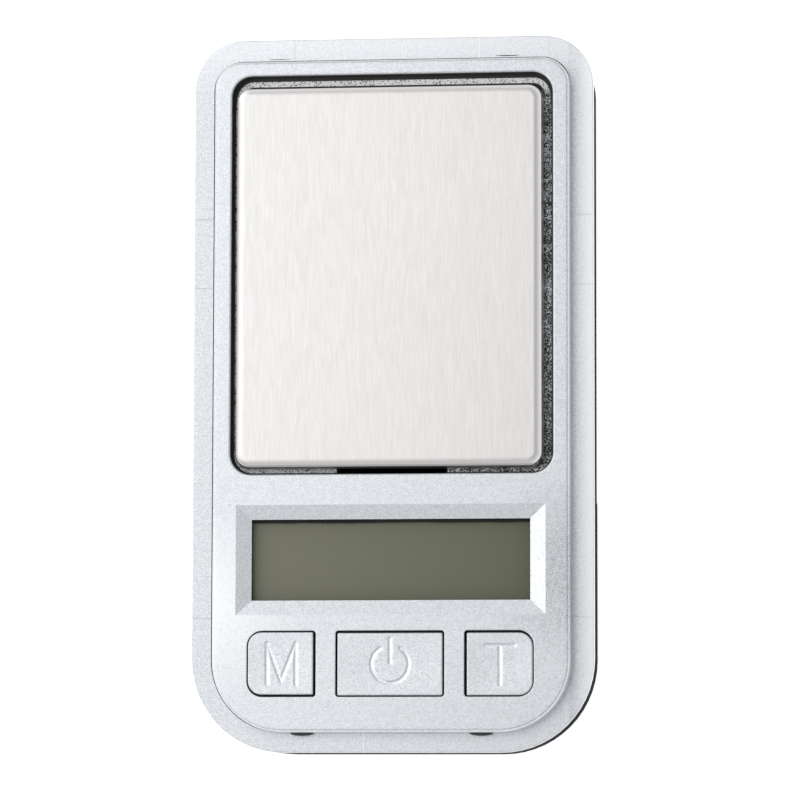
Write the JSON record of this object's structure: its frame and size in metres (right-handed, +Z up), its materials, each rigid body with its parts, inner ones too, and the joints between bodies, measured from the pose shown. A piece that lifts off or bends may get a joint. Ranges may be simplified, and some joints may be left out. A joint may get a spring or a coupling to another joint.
{
  "type": "digital gram scale",
  "caption": "Slim pocket scale: a square-cornered steel weighing tray set in a silver bezel, with a display and a row of engraved buttons below it.",
  "frame": {"origin": "On the table plane, below the centre of the case's outline.", "axes": "+X to the right across the display, +Y from the buttons to the tray end, +Z up out of the tray."},
  "size_m": [0.064, 0.114, 0.0196],
  "materials": {
    "shell_paint": "fine silver metallic paint over moulded ABS",
    "base_plastic": "fine textured black ABS",
    "tray_steel": "brushed stainless steel, grain along the case",
    "foam_tape": "white foam tape",
    "carrier_plastic": "black ABS",
    "cell_aluminium": "milled aluminium",
    "gauge_coat": "white silicone coat over the gauges",
    "screw_steel": "zinc plated steel",
    "board": "green solder mask on glass fibre board",
    "epoxy": "black epoxy",
    "components": "moulded component bodies",
    "lcd_face": "grey-green liquid crystal face, unlit",
    "lcd_glass": "thin display glass",
    "lcd_reflector": "satin reflective polariser film",
    "gasket_foam": "black foam",
    "zebra_rubber": "layered conductive silicone",
    "key_paint": "fine silver metallic paint over moulded ABS, engraved mark",
    "switch_body": "black nylon",
    "plunger": "ivory nylon",
    "cell_jacket": "steel can with a plain printed sleeve",
    "contact_metal": "nickel plated spring steel",
    "wire_pvc": "PVC insulated fine wires: red, black, green and white",
    "foot_rubber": "soft black rubber",
    "label_film": "blank silver-white film"
  },
  "bodies": {
    "case": {"top_shell": "shell_paint", "base_shell": "base_plastic", "load_cell": "cell_aluminium", "strain_gauges": "gauge_coat", "load_cell_base_screws": "screw_steel", "overload_stop_screw": "screw_steel", "main_pcb": "board", "chip_blob": "epoxy", "smd_parts": "components", "pcb_screws": "screw_steel", "lcd_front_polariser": "lcd_face", "lcd_front_glass": "lcd_glass", "lcd_rear_glass": "lcd_glass", "lcd_reflector": "lcd_reflector", "lcd_gasket": "gasket_foam", "zebra_strip": "zebra_rubber", "mode_switch": "switch_body", "power_switch": "switch_body", "tare_switch": "switch_body", "battery_1": "cell_jacket", "battery_2": "cell_jacket", "positive_contact": "contact_metal", "negative_contact": "contact_metal", "bridge_contact": "contact_metal", "battery_springs": "contact_metal", "load_cell_wires": "wire_pvc", "battery_wires": "wire_pvc", "case_screws": "screw_steel", "rubber_feet": "foot_rubber", "rating_label": "label_film"},
    "mode_key": {"mode_button": "key_paint", "mode_plunger": "plunger"},
    "power_key": {"power_button": "key_paint", "power_plunger": "plunger"},
    "tare_key": {"tare_button": "key_paint", "tare_plunger": "plunger"},
    "tray": {"weighing_tray": "tray_steel", "tray_pad": "foam_tape", "tray_carrier": "carrier_plastic", "load_cell_carrier_screws": "screw_steel"},
    "door": {"battery_door": "base_plastic"}
  },
  "joints": [
    {"name": "mode_press", "type": "slide", "parent": "case", "child": "mode_key", "axis": [0, 0, -1], "range_m": [0, 0.0003], "stiffness_N_per_m": 3000, "springref_m": -0.0002},
    {"name": "power_press", "type": "slide", "parent": "case", "child": "power_key", "axis": [0, 0, -1], "range_m": [0, 0.0003], "stiffness_N_per_m": 3000, "springref_m": -0.0002},
    {"name": "tare_press", "type": "slide", "parent": "case", "child": "tare_key", "axis": [0, 0, -1], "range_m": [0, 0.0003], "stiffness_N_per_m": 3000, "springref_m": -0.0002},
    {"name": "tray_load", "type": "slide", "parent": "case", "child": "tray", "axis": [0, 0, -1], "range_m": [0, 0.0003], "stiffness_N_per_m": 16000, "springref_m": -0.00005, "deforming": ["load_cell"]},
    {"name": "door_swing", "type": "hinge", "parent": "case", "child": "door", "pos_m": [0, -0.0243, 0.0008], "axis": [1, 0, 0], "range_deg": [0, 75]}
  ]
}
